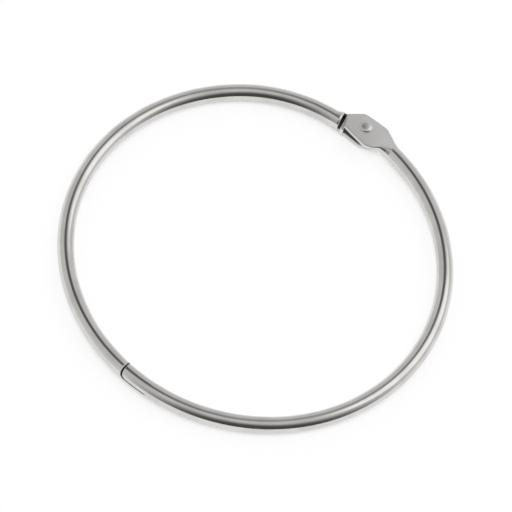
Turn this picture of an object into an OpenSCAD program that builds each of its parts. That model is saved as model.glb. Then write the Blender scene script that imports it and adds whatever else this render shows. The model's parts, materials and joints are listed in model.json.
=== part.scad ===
// Hinged book ring of round wire, lying flat and closed.
// Origin: middle of the ring's outline in X and Y, lowest point in Z. The hinge is at +Y, the closure at -Y.

/* [Ring] */
// Clear diameter inside the closed ring
ring_inner_d = 76; // [50:1:102]
// Diameter of the wire
wire_d = 3.5; // [3:0.1:4]
// Angle from the hinge to where the swinging half bends in more tightly
tuck_turn = 40; // [30:1:50]
// Bend radius of that last stretch before the hinge
tuck_r = 33; // [30:1:37]

/* [Hinge leaves] */
// Thickness of the flattened wire ends
leaf_t = 1; // [0.8:0.05:1.2]
// Clear height between the two leaves
leaf_gap = 1.6; // [1.3:0.05:2]
// Radius of the leaves' corners in plan
corner_r = 0.6; // [0.4:0.05:0.8]
// Rounding of the leaves' pressed edges
edge_r = 0.25; // [0.1:0.05:0.35]
// Diameter of the lower leaf's round end
lower_leaf_d = 6.4; // [5.6:0.1:7]

/* [Upper leaf] */
// Distance from the rivet to the outer edge
leaf_out = 2.6; // [2.3:0.1:3]
// Distance from the rivet to the widest point of the inner edge
leaf_in = 3.9; // [3.5:0.1:4.3]
// Distance along the ring from the rivet to that widest point
belly_x = 1.8; // [1.2:0.1:2.2]
// Distance along the ring from the rivet to the outer edge's free end
outer_edge_x = 1.9; // [1.4:0.1:2.4]
// Distance from the rivet to the slanted cut end
cut_end_reach = 4.3; // [4:0.1:4.8]
// Reach of the cut end outwards from the rivet's line
cut_end_out = 2; // [1.6:0.1:2.3]
// Reach of the cut end inwards from the rivet's line
cut_end_in = 1.3; // [1.2:0.1:1.7]
// Slant of the cut end
cut_slant = 22; // [12:1:24]
// Distance from the rivet to the start of the taper towards the wire
taper_x = 3.7; // [3.2:0.1:4.2]
// Distance from the rivet's line to the inner edge at that start
taper_in = 3.4; // [3:0.1:3.6]
// Distance from the rivet to where the upper leaf has become round wire
leaf_run = 7; // [6.4:0.1:8.4]

/* [Shoulder of the swinging half] */
// Thickness of the upright shoulder
shoulder_t = 0.8; // [0.6:0.05:1.2]
// Reach of the upright shoulder outwards from the rivet's line
shoulder_out = 1.9; // [1.7:0.1:2.2]
// Reach of the upright shoulder inwards from the rivet's line
shoulder_in = 2.4; // [2:0.1:2.6]
// Slant of the upright shoulder
shoulder_slant = 12; // [8:1:16]
// Width of the slot between the shoulder and the round wire
slot_w = 0.55; // [0.4:0.05:0.8]
// Depth of the web that bridges the slot on its outer side
slot_web = 0.8; // [0.6:0.1:1.2]
// Thickness of the strip left under the slot
slot_floor = 1.1; // [0.9:0.05:1.4]
// Length over which the web slopes in by its own depth
web_run = 1.8; // [1:0.1:2.6]

/* [Rivet] */
// Diameter of the rivet's shank in the leaves
shank_d = 2; // [1.6:0.1:2.4]
// Diameter of the rivet's collar between the leaves
collar_d = 3; // [2.6:0.1:3.6]
// Diameter of the rivet's domed head
head_d = 2.8; // [2.6:0.1:3.6]
// Height of the rivet's domed head
head_h = 0.45; // [0.35:0.05:0.7]
// Diameter of the rivet's flat tail
tail_d = 3; // [2.6:0.1:3.6]
// Thickness of the rivet's flat tail
tail_h = 0.25; // [0.2:0.05:0.5]

/* [Closure] */
// Length along the wire that the two half-round ends share
lap_len = 6.5; // [5:0.5:9]
// Angle around the ring from the point opposite the hinge to the middle of the lap
lap_turn = 2.3; // [0:0.1:6]
// Number of teeth across the lap
tooth_n = 3; // [2:1:3]
// Distance from tooth to tooth
tooth_pitch = 1.4; // [1.2:0.1:1.5]
// Width of a tooth at its root
tooth_w = 0.7; // [0.5:0.05:0.9]
// Height of a tooth
tooth_h = 0.25; // [0.15:0.05:0.35]
// Length of a tooth across the wire
tooth_len = 1.8; // [1.4:0.1:2.2]

/* [Clearances] */
// Radial clearance of the shank in the leaf that it is riveted to
fixed_fit = 0.02; // [0.01:0.01:0.05]
// Radial clearance of the shank in the leaf that turns on it
swing_fit = 0.05; // [0.03:0.01:0.1]
// Clearance above and below the turning leaf
leaf_play = 0.05; // [0.03:0.01:0.1]
// Clearance between the round wire's slot and the sweep of the upper leaf's cut end
sweep_gap = 0.15; // [0.1:0.05:0.4]
// Clearance between the shoulder's top and the upper leaf over it
pass_gap = 0.1; // [0.05:0.01:0.2]
// Clearance between the teeth of one end and the lap face of the other
tooth_play = 0.06; // [0.04:0.01:0.12]
// Clearance between a tooth and the sides of its notch
notch_extra = 0.1; // [0.05:0.05:0.15]
// Clearance at each end of the lap
lap_end_gap = 0.3; // [0.15:0.05:0.4]

/* [Hidden] */

wire_r = wire_d / 2;
ring_r = (ring_inner_d + wire_d) / 2;

// Heights, counted from the wire's centre plane
upper_top = wire_r;
upper_bottom = upper_top - leaf_t;
lower_top = upper_bottom - leaf_gap;
lower_bottom = lower_top - leaf_t;
tail_top = lower_bottom - leaf_play;
tail_bottom = tail_top - tail_h;

// Place of the wire's centre plane and of the ring's centre
wire_z = -tail_bottom;
ring_y = -(max(leaf_out, lower_leaf_d / 2) - wire_r) / 2;

// Hinge layout, counted from the rivet
cut_end_sweep = norm([cut_end_reach, max(cut_end_out, cut_end_in)]);
slot_x = cut_end_sweep + sweep_gap;
shoulder_x = slot_x - shoulder_t;
shoulder_top = upper_bottom - pass_gap;

// Angles along the ring
fixed_start_a = asin(leaf_run / ring_r);
tuck_end_a = asin((slot_x - shoulder_t / 2 - (ring_r - tuck_r) * sin(tuck_turn)) / tuck_r);
lap_a = lap_len / ring_r * 180 / PI;
lap_end_a = lap_end_gap / ring_r * 180 / PI;
tooth_a = tooth_pitch / ring_r * 180 / PI;
lap_mid_a = -90 - lap_turn;
blend_depth = 0.05;
blend_step = 0.03;
blend_a = blend_depth / tuck_r * 180 / PI;

lap_gap = tooth_h + tooth_play;
eps = 0.01;

// Places its children at the ring's centre, on the wire's centre plane
module at_ring() {
    translate([0, ring_y, wire_z]) children();
}

// Places its children at the rivet, on the wire's centre plane
module at_rivet() {
    translate([0, ring_y + ring_r, wire_z]) children();
}

// Round wire of diameter d along an arc of radius r, from angle a0 to angle a1
module wire_arc(r, d, a0, a1) {
    rotate([0, 0, a0])
        rotate_extrude(angle = a1 - a0, $fn = 256)
            translate([r, 0])
                circle(d = d, $fn = 64);
}

// Last stretch of the swinging half's wire, bent in more tightly up to the hinge
module tucked_wire() {
    rotate([0, 0, tuck_turn])
        translate([0, ring_r - tuck_r, 0])
            wire_arc(tuck_r, wire_d - 2 * blend_step, 90 + tuck_end_a - tuck_turn, 90 + blend_a);
}

// Cut that takes one half off the wire along the ring: side = 1 takes the upper half, side = -1 the lower
module lap_cut(a0, a1, side) {
    rotate([0, 0, a0])
        rotate_extrude(angle = a1 - a0, $fn = 256)
            translate([ring_r - wire_d, side > 0 ? -lap_gap / 2 : lap_gap / 2 - wire_d])
                square([2 * wire_d, wire_d]);
}

// Row of tapered bars across the lap, hanging from height z; extra widens them all round
module tooth_bars(z, extra) {
    for (i = [0 : tooth_n - 1])
        rotate([0, 0, lap_mid_a + (i - (tooth_n - 1) / 2) * tooth_a])
            translate([ring_r - tooth_len / 2 - extra, 0, z])
                rotate([90, 0, 90])
                    linear_extrude(tooth_len + 2 * extra)
                        polygon([
                            [-tooth_w / 2 - extra, eps], [tooth_w / 2 + extra, eps],
                            [tooth_w / 4 + extra, -tooth_h], [-tooth_w / 4 - extra, -tooth_h]
                        ]);
}

// Round tablet with eased edges, the corner of a pressed leaf; its top is at z = 0
module tablet(r) {
    rotate_extrude($fn = 32)
        polygon([
            [0, -leaf_t], [r - edge_r, -leaf_t], [r, edge_r - leaf_t],
            [r, -edge_r], [r - edge_r, 0], [0, 0]
        ]);
}

// Tablet in a corner of the upper leaf, with its side on the leaf's edge at y
module leaf_corner(x, y) {
    translate([x, y - sign(y) * corner_r, upper_top]) tablet(corner_r);
}

// Corners where the upper leaf starts to taper towards the wire
module taper_corners() {
    leaf_corner(taper_x, leaf_out);
    leaf_corner(taper_x, -taper_in);
}

// Turns its children with an end that faces -x and slants by angle a
module on_slant(a) {
    rotate([0, 0, a]) children();
}

// Upper leaf with its slanted cut end, and the blend into the round wire
module upper_leaf() {
    hull() {
        on_slant(cut_slant)
            for (y = [corner_r - cut_end_in, cut_end_out - corner_r])
                translate([corner_r - cut_end_reach, y, upper_top])
                    tablet(corner_r);
        leaf_corner(-outer_edge_x, leaf_out);
        leaf_corner(belly_x, -leaf_in);
        taper_corners();
    }
    hull() {
        taper_corners();
        translate([0, -ring_r, 0])
            rotate([0, 0, 90 - fixed_start_a])
                translate([ring_r, blend_depth, 0])
                    rotate([90, 0, 0])
                        cylinder(d = wire_d - 2 * blend_step, h = 2 * blend_depth, $fn = 32);
    }
}

// Lower leaf with its round end under the rivet and its root in the shoulder
module lower_leaf() {
    hull() {
        translate([0, 0, lower_top]) tablet(lower_leaf_d / 2);
        on_slant(shoulder_slant)
            for (y = [edge_r + corner_r - shoulder_in, shoulder_out - edge_r - corner_r])
                translate([-shoulder_x - shoulder_t / 2, y, lower_top]) tablet(corner_r);
    }
}

// Upright shoulder at the root of the lower leaf, which stays under the upper leaf
module shoulder() {
    on_slant(shoulder_slant)
        translate([-slot_x, 0, 0])
            hull() {
                for (y = [edge_r - shoulder_in, shoulder_out - edge_r])
                    translate([0, y, shoulder_top - edge_r])
                        rotate([0, 90, 0])
                            cylinder(r = edge_r, h = shoulder_t, $fn = 32);
                translate([0, -shoulder_in, lower_bottom])
                    cube([shoulder_t, shoulder_in + shoulder_out, leaf_t]);
            }
}

// Web on the outer side of the slot, sunk to the middle of the round wire and sloping into it
module slot_web_bar() {
    outer_y = shoulder_out - blend_depth;
    slope_run = outer_y * web_run / slot_web;
    on_slant(shoulder_slant)
        translate([-slot_x, 0, lower_bottom + 2 * edge_r])
            linear_extrude(shoulder_top - lower_bottom - 3 * edge_r)
                polygon([
                    [shoulder_t / 2, 0], [shoulder_t / 2, outer_y],
                    [-slot_w, outer_y], [-slot_w - slope_run, 0]
                ]);
}

// Saw slot between the round wire and the shoulder, open at the top and on the ring's inner side
module slot_cut() {
    on_slant(shoulder_slant)
        translate([-slot_x - slot_w, shoulder_out - slot_web - 2 * wire_d, lower_bottom + slot_floor])
            cube([slot_w + shoulder_t / 3, 2 * wire_d, 2 * wire_d]);
}

// Cut that takes the wire away above the shoulder, where the upper leaf passes
module leaf_pass_cut() {
    on_slant(shoulder_slant)
        translate([-slot_x - blend_depth, -wire_d, shoulder_top - blend_depth])
            cube([wire_d, 2 * wire_d, wire_d]);
}

// Half ring that stays still, with the upper leaf and the upper half of the lap
module fixed_half_ring() {
    color("gainsboro")
        difference() {
            union() {
                at_ring() {
                    difference() {
                        wire_arc(ring_r, wire_d, lap_mid_a - lap_a / 2 + lap_end_a, 90 - fixed_start_a);
                        lap_cut(lap_mid_a - lap_a, lap_mid_a + lap_a / 2, -1);
                    }
                    tooth_bars(lap_gap / 2, 0);
                }
                at_rivet() upper_leaf();
            }
            at_rivet()
                translate([0, 0, upper_bottom - leaf_t])
                    cylinder(d = shank_d + 2 * fixed_fit, h = 3 * leaf_t, $fn = 48);
        }
}

// Half ring that swings open, with the lower leaf and the lower half of the lap
module swing_half_ring() {
    color("silver")
        difference() {
            union() {
                difference() {
                    union() {
                        at_ring() {
                            wire_arc(ring_r, wire_d, 90 + tuck_turn, 360 + lap_mid_a + lap_a / 2 - lap_end_a);
                            tucked_wire();
                        }
                        at_rivet() slot_web_bar();
                    }
                    at_ring() {
                        lap_cut(lap_mid_a - lap_a / 2, lap_mid_a + lap_a, 1);
                        tooth_bars(-lap_gap / 2, notch_extra);
                    }
                    at_rivet() {
                        slot_cut();
                        leaf_pass_cut();
                    }
                }
                at_rivet() {
                    lower_leaf();
                    shoulder();
                }
            }
            at_rivet()
                translate([0, 0, lower_bottom - leaf_t])
                    cylinder(d = shank_d + 2 * swing_fit, h = 3 * leaf_t, $fn = 48);
        }
}

// Collared rivet that holds the leaves apart, with a domed head on top
module hinge_rivet() {
    shank_r = shank_d / 2;
    collar_bottom = lower_top + leaf_play;
    dome_r = (pow(head_d / 2, 2) + pow(head_h, 2)) / (2 * head_h);
    dome_a = asin(head_d / 2 / dome_r);
    dome = [for (i = [0 : 8]) let (a = dome_a * (1 - i / 8))
        [dome_r * sin(a), upper_top + head_h - dome_r * (1 - cos(a))]];
    color("darkgray")
        at_rivet()
            rotate_extrude($fn = 64)
                polygon(concat(
                    [
                        [0, tail_bottom], [tail_d / 2, tail_bottom], [tail_d / 2, tail_top],
                        [shank_r, tail_top], [shank_r, collar_bottom],
                        [collar_d / 2, collar_bottom], [collar_d / 2, upper_bottom],
                        [shank_r, upper_bottom], [shank_r, upper_top]
                    ],
                    dome
                ));
}

fixed_half_ring();
swing_half_ring();
hinge_rivet();
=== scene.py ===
"""Hinged book ring of nickel plated wire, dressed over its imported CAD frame.

Each half of the ring is one closed mesh: a plain run of drawn wire swept by Geometry Nodes, with
its forged ends lofted on. The rivet is turned on a lathe profile. All sizes are in metres.
"""

import json
import logging
import math
from dataclasses import dataclass, field
from enum import Enum
from typing import Callable, Iterable, Sequence

import bmesh
import bpy
from mathutils import Matrix, Vector


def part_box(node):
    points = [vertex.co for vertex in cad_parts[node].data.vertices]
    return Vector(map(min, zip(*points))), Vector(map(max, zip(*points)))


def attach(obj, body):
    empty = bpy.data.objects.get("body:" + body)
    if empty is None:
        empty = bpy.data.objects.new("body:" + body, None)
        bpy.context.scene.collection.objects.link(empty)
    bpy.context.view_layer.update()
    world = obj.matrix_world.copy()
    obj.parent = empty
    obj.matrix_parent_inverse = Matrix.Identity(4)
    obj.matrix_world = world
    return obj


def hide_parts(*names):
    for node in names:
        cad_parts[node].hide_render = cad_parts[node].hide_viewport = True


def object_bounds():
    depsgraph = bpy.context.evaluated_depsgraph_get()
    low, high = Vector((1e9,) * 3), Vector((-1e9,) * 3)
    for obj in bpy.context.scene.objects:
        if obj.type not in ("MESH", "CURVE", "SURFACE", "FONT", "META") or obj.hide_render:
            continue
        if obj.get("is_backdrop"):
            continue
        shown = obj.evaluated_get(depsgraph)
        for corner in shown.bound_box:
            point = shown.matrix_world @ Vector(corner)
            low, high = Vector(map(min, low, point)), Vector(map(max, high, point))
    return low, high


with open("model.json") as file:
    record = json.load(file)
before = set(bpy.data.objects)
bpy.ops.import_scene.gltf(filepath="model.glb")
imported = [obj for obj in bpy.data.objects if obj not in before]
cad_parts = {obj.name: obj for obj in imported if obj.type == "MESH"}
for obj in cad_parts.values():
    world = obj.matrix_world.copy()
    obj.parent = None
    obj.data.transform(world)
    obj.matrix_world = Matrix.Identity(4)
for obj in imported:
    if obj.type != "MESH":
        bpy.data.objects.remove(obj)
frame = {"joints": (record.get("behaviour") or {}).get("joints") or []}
cad_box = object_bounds()

MM = 0.001
WELD_DISTANCE = 0.0004 * MM
SHORTEST_EDGE = 0.0002 * MM
SAME_HEIGHT = 0.01 * MM
SHARP_EDGE = math.radians(32)
RIVET_GRAIN_R = 0.7 * MM
RIVET_GRAIN_SPREAD = 1.0 * MM
GRAIN_NOISE = {"Scale": 5200.0, "Detail": 4.0, "Roughness": 0.62}
PATCH_NOISE = {"Scale": 230.0, "Detail": 3.0}
log = logging.getLogger("book_ring")


class Surface(Enum):
    """Finish of a face, as its index among a half ring's materials."""

    DRAWN = 0
    PRESSED = 1
    # Sawn steel faces, painted near black with the shade in the slot and the lap's seam
    SAWN = 2
    # Nickel plate painted darker with the shade that falls between the two leaves
    RECESS = 3


class LapSide(Enum):
    """Which half of the round wire stays in the lap: the sign of its height."""

    UPPER = 1
    LOWER = -1


class Working(Enum):
    """What a closed tool does to a piece."""

    JOIN = "UNION"
    CUT = "DIFFERENCE"


# ---------------------------------------------------------------------------- sizes


def clamp(value: float) -> float:
    """Value held between 0 and 1."""
    return min(max(value, 0.0), 1.0)


def quarter_turn(steps: int) -> list[tuple[float, float]]:
    """Sine, and 1 less the cosine, of even steps through a quarter turn, without the first."""
    turns = [k / steps * math.pi / 2 for k in range(1, steps + 1)]
    return [(math.sin(turn), 1 - math.cos(turn)) for turn in turns]


@dataclass(frozen=True)
class Bend:
    """Arc in plan that the wire's centre line follows."""

    centre: Vector
    radius: float

    def direction(self, angle: float) -> Vector:
        """Direction in plan from the arc's centre at an angle."""
        return Vector((math.cos(angle), math.sin(angle)))

    def radial(self, angle: float, reach: float = 0.0) -> Vector:
        """Point in plan on the arc at an angle, moved out from the wire's centre line by reach."""
        return self.centre.xy + self.direction(angle) * (self.radius + reach)

    def angle_of_x(self, x: float) -> float:
        """Angle on the hinge's side of the ring where the arc is at x."""
        return math.acos((x - self.centre.x) / self.radius)

    def angle_of(self, length: float) -> float:
        """Angle that a length along the wire's centre line turns through."""
        return length / self.radius


@dataclass(frozen=True)
class RingSizes:
    """Main sizes of the ring, read from the CAD frame.

    Attributes:
        pivot: The rivet's axis, from the hinge joint.
        ring: Arc of the ring.
        tuck: Tighter arc of the swinging half's last stretch before the hinge.
        wire_r: Radius of the wire.
        tuck_start: Angle at which the one arc runs on into the other.
        tuck_r: Radius of the tighter arc.
        lap_turn: Angle from the point opposite the hinge to the lap's middle.
    """

    pivot: Vector
    ring: Bend
    tuck: Bend
    wire_r: float
    tuck_start: float = math.radians(90 + 40)
    tuck_r: float = 33.0 * MM
    lap_turn: float = math.radians(2.3)

    @classmethod
    def from_frame(cls) -> "RingSizes":
        """Works the ring's sizes out from its box and its hinge joint.

        Returns:
            The sizes, with the ring's centre on the wire's centre plane.
        """
        pivot = Vector(frame["joints"][0]["pos_m"])
        low, high = (Vector(corner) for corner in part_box("fixed_half_ring"))
        wire_r = (high.z - low.z) / 2
        ring_r = min(-cad_box[0][0], cad_box[1][0]) - wire_r
        ring = Bend(Vector((0, pivot.y - ring_r, low.z + wire_r)), ring_r)
        moved = ring.direction(cls.tuck_start) * (ring_r - cls.tuck_r)
        return cls(pivot, ring, Bend(ring.centre + moved.to_3d(), cls.tuck_r), wire_r)

    @property
    def plane_z(self) -> float:
        """Height of the wire's centre plane."""
        return self.ring.centre.z

    @property
    def lap_middle(self) -> float:
        """Angle of the lap's middle, just past the point opposite the hinge."""
        return -math.pi / 2 - self.lap_turn


@dataclass(frozen=True)
class HingeSizes:
    """Thicknesses and fits of the two leaves and the rivet.

    Attributes:
        leaf_t: Thickness of each leaf.
        leaf_gap: Clear height between the leaves, which the rivet's collar fills.
        edge_r: Rounding of the leaves' edges.
        shank_r: Radius of the rivet's shank.
        fixed_fit: Clearance of the hole in the upper leaf round the shank.
        swing_fit: Clearance of the hole in the lower leaf round the shank.
        leaf_play: Clearance above the lower leaf, and below it.
    """

    leaf_t: float = 1.0 * MM
    leaf_gap: float = 1.6 * MM
    edge_r: float = 0.25 * MM
    shank_r: float = 1.0 * MM
    fixed_fit: float = 0.02 * MM
    swing_fit: float = 0.05 * MM
    leaf_play: float = 0.05 * MM


@dataclass(frozen=True)
class LapSizes:
    """Sizes of the lapped and toothed free ends.

    Attributes:
        length: Length along the wire that the two ends share.
        end_gap: Clearance at each end of the lap.
        tooth_n: Number of teeth.
        tooth_pitch: Distance from tooth to tooth.
        tooth_w: Width of a tooth at its root.
        tooth_h: Height of a tooth.
        tooth_len: Length of a tooth across the wire.
        tooth_root: How far a tooth's root runs into its own lap face.
        tooth_play: Clearance between the teeth and the other end's lap face.
        notch_extra: Clearance between a tooth and the sides of its notch.
        lead: How far the seam stands forward on the ring's inner side.
        skew: How far it runs back across the top of the wire.
        skew_from: Distance outwards at which it starts to run back.
        skew_run: Distance outwards over which it does.
        curl_run: How far it curls along the wire, down its outer flank.
        curl_rise: Height over which it curls.
    """

    length: float = 6.5 * MM
    end_gap: float = 0.3 * MM
    tooth_n: int = 3
    tooth_pitch: float = 1.4 * MM
    tooth_w: float = 0.7 * MM
    tooth_h: float = 0.25 * MM
    tooth_len: float = 1.8 * MM
    tooth_root: float = 0.05 * MM
    tooth_play: float = 0.06 * MM
    notch_extra: float = 0.1 * MM
    lead: float = 0.42 * MM
    skew: float = 0.2 * MM
    skew_from: float = -0.2 * MM
    skew_run: float = 1.95 * MM
    curl_run: float = 1.15 * MM
    curl_rise: float = 1.6 * MM

    @property
    def half_gap(self) -> float:
        """Half the clear height between the two lap faces."""
        return (self.tooth_h + self.tooth_play) / 2

    def set_back(self, across: float, rise: float) -> float:
        """How far the visible end of the lap is set back along the wire.

        Args:
            across: Distance outwards from the wire's centre line.
            rise: Height above the lap face.

        Returns:
            The distance, which grows outwards and down towards the lap face.
        """
        low = 1 - clamp(rise / self.curl_rise)
        outer_part = clamp(0.5 + across / self.curl_rise)
        curl = self.curl_run * (1 - math.sqrt(1 - low * low)) * outer_part
        return self.skew * clamp((across - self.skew_from) / self.skew_run) + curl - self.lead


# ---------------------------------------------------------------------------- finishes


class NodeMaker:
    """What the shader and the geometry trees share: a tree that is filled node by node."""

    def __init__(self, tree: bpy.types.NodeTree) -> None:
        """Keeps the tree."""
        self.tree = tree

    def fill(self, socket: bpy.types.NodeSocket, value: object) -> None:
        """Links a socket, or sets its value.

        Args:
            socket: The input to fill.
            value: The output to link it to, or its value.
        """
        if isinstance(value, bpy.types.NodeSocket):
            self.tree.links.new(value, socket)
        else:
            socket.default_value = value

    def math(self, operation: str, *inputs: object) -> bpy.types.NodeSocket:
        """Adds a Math node.

        Args:
            operation: The node's operation.
            *inputs: Sockets to link, or numbers to set.

        Returns:
            The node's result.
        """
        node = self.tree.nodes.new("ShaderNodeMath")
        node.operation = operation
        for socket, value in zip(node.inputs, inputs):
            self.fill(socket, value)
        return node.outputs[0]


class Nodes(NodeMaker):
    """The shader nodes of a material, or of the world."""

    def __init__(self, owner: bpy.types.ID) -> None:
        """Clears the owner's tree and keeps it.

        Args:
            owner: The material or world to build.
        """
        owner.use_nodes = True
        super().__init__(owner.node_tree)
        self.tree.nodes.clear()

    def add(self, kind: str, inputs: dict[str | int, object] | None = None,
            **settings: object) -> bpy.types.Node:
        """Adds a node, sets its properties and fills its inputs.

        Args:
            kind: The node's type name, without the ShaderNode prefix.
            inputs: Values or sockets, by the name or index of the input.
            **settings: Properties of the node.

        Returns:
            The new node.
        """
        node = self.tree.nodes.new("ShaderNode" + kind)
        for name, value in settings.items():
            setattr(node, name, value)
        for key, value in (inputs or {}).items():
            self.fill(node.inputs[key], value)
        return node

    def ramp(self, value: bpy.types.NodeSocket, span: tuple[float, float],
             out_low: float = 0.0, out_high: float = 1.0) -> bpy.types.NodeSocket:
        """Maps a value smoothly from one range to another.

        Args:
            value: The value to map.
            span: Values that give out_low and out_high.
            out_low: Lowest result.
            out_high: Highest result.

        Returns:
            The mapped value.
        """
        ends = {"From Min": span[0], "From Max": span[1], "To Min": out_low, "To Max": out_high}
        node = self.add("MapRange", {"Value": value, **ends}, interpolation_type="SMOOTHSTEP")
        return node.outputs["Result"]


@dataclass(frozen=True)
class NickelFinish:
    """Nickel plate on steel, with the marks of the way the steel was shaped.

    Attributes:
        name: Name of the material.
        dark: Colour in the plate's dull patches.
        light: Colour of the clean plate.
        rough_low: Roughness of the brightest patches.
        rough_high: Roughness of the dullest patches.
        grain_depth: Height of the fine grain, in metres.
        streaks: Stretch of the grain along the ring: 1 is an even grain.
        grain_share: Share of the grain in the tone; the patches have the rest.
        colour_span: Tones that give the dark and the light colour.
        rough_span: Tones that give the highest and the lowest roughness.
    """

    name: str
    dark: tuple[float, float, float]
    light: tuple[float, float, float]
    rough_low: float
    rough_high: float
    grain_depth: float
    streaks: float
    grain_share: float = 0.45
    colour_span: tuple[float, float] = (0.34, 0.6)
    rough_span: tuple[float, float] = (0.36, 0.66)

    def build(self, axis: Vector, ring_r: float, wire_r: float) -> bpy.types.Material:
        """Makes the material, with its grain laid round an axis.

        Args:
            axis: Centre of the ring, or of the turned part, that the grain runs round.
            ring_r: Radius at which the grain's coordinates are true.
            wire_r: Radius of the wire; the grain is spread round it.

        Returns:
            The material.
        """
        material = bpy.data.materials.new(self.name)
        nodes = Nodes(material)
        along, around, place = self._wire_coordinates(nodes, axis, ring_r, wire_r)
        run = nodes.math("MULTIPLY", along, 1 / self.streaks)
        stretched = nodes.add("CombineXYZ", {"X": run, "Y": around}).outputs[0]
        grain = nodes.add("TexNoise", {"Vector": stretched, **GRAIN_NOISE}).outputs["Fac"]
        patches = nodes.add("TexNoise", {"Vector": place, **PATCH_NOISE}).outputs["Fac"]
        tone = nodes.math("ADD", nodes.math("MULTIPLY", grain, self.grain_share),
                          nodes.math("MULTIPLY", patches, 1 - self.grain_share))
        colour = nodes.add("Mix", {0: nodes.ramp(tone, self.colour_span), 6: (*self.dark, 1.0),
                                   7: (*self.light, 1.0)}, data_type="RGBA")
        bump = nodes.add("Bump", {"Strength": 1.0, "Distance": self.grain_depth, "Height": grain})
        shader = nodes.add("BsdfPrincipled", {
            "Metallic": 1.0, "Base Color": colour.outputs[2], "Normal": bump.outputs["Normal"],
            "Roughness": nodes.ramp(tone, self.rough_span, self.rough_high, self.rough_low)})
        nodes.add("OutputMaterial", {"Surface": shader.outputs[0]})
        return material

    def _wire_coordinates(self, nodes: Nodes, axis: Vector, ring_r: float,
                          wire_r: float) -> tuple[bpy.types.NodeSocket, ...]:
        """Lays coordinates along and around the wire.

        Args:
            nodes: The material's nodes.
            axis: Centre of the ring.
            ring_r: Radius of the ring.
            wire_r: Radius of the wire.

        Returns:
            The length along the wire, the length around it, and the place from the centre.
        """
        whole = nodes.add("TexCoord").outputs["Object"]
        place = nodes.add("Mapping", {"Vector": whole, "Location": -axis}).outputs[0]
        x, y, z = nodes.add("SeparateXYZ", {0: place}).outputs
        angle = nodes.math("ARCTAN2", y, x)
        squares = nodes.math("ADD", nodes.math("MULTIPLY", x, x), nodes.math("MULTIPLY", y, y))
        reach = nodes.math("SUBTRACT", nodes.math("SQRT", squares), ring_r)
        turn = nodes.math("ARCTAN2", z, reach)
        return nodes.math("MULTIPLY", angle, ring_r), nodes.math("MULTIPLY", turn, wire_r), place


DRAWN_WIRE = NickelFinish(
    "drawn_nickel_wire", dark=(0.60, 0.587, 0.57), light=(0.70, 0.686, 0.667),
    rough_low=0.09, rough_high=0.17, grain_depth=0.0012 * MM, streaks=26.0)
PRESSED_LEAF = NickelFinish(
    "pressed_nickel_leaf", dark=(0.76, 0.752, 0.745), light=(0.82, 0.81, 0.802),
    rough_low=0.36, rough_high=0.48, grain_depth=0.005 * MM, streaks=1.6)
# Sawn steel with painted shade: its near-black colour stands for the shade in the slot, the lap's
# seam and the teeth
SAWN_PAINTED_SHADE_FACE = NickelFinish(
    "sawn_steel_face", dark=(0.12, 0.112, 0.105), light=(0.22, 0.208, 0.195),
    rough_low=0.42, rough_high=0.6, grain_depth=0.006 * MM, streaks=1.0)
# Nickel plate with painted shade: darker than the leaf, for the shade between the two leaves
NICKEL_PAINTED_SHADE = NickelFinish(
    "dull_plate_between_leaves", dark=(0.34, 0.334, 0.328), light=(0.44, 0.434, 0.428),
    rough_low=0.42, rough_high=0.55, grain_depth=0.005 * MM, streaks=1.6)
TURNED_RIVET = NickelFinish(
    "turned_nickel_rivet", dark=(0.58, 0.57, 0.56), light=(0.70, 0.69, 0.68),
    rough_low=0.24, rough_high=0.36, grain_depth=0.003 * MM, streaks=9.0)


# ---------------------------------------------------------------------------- meshes


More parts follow.
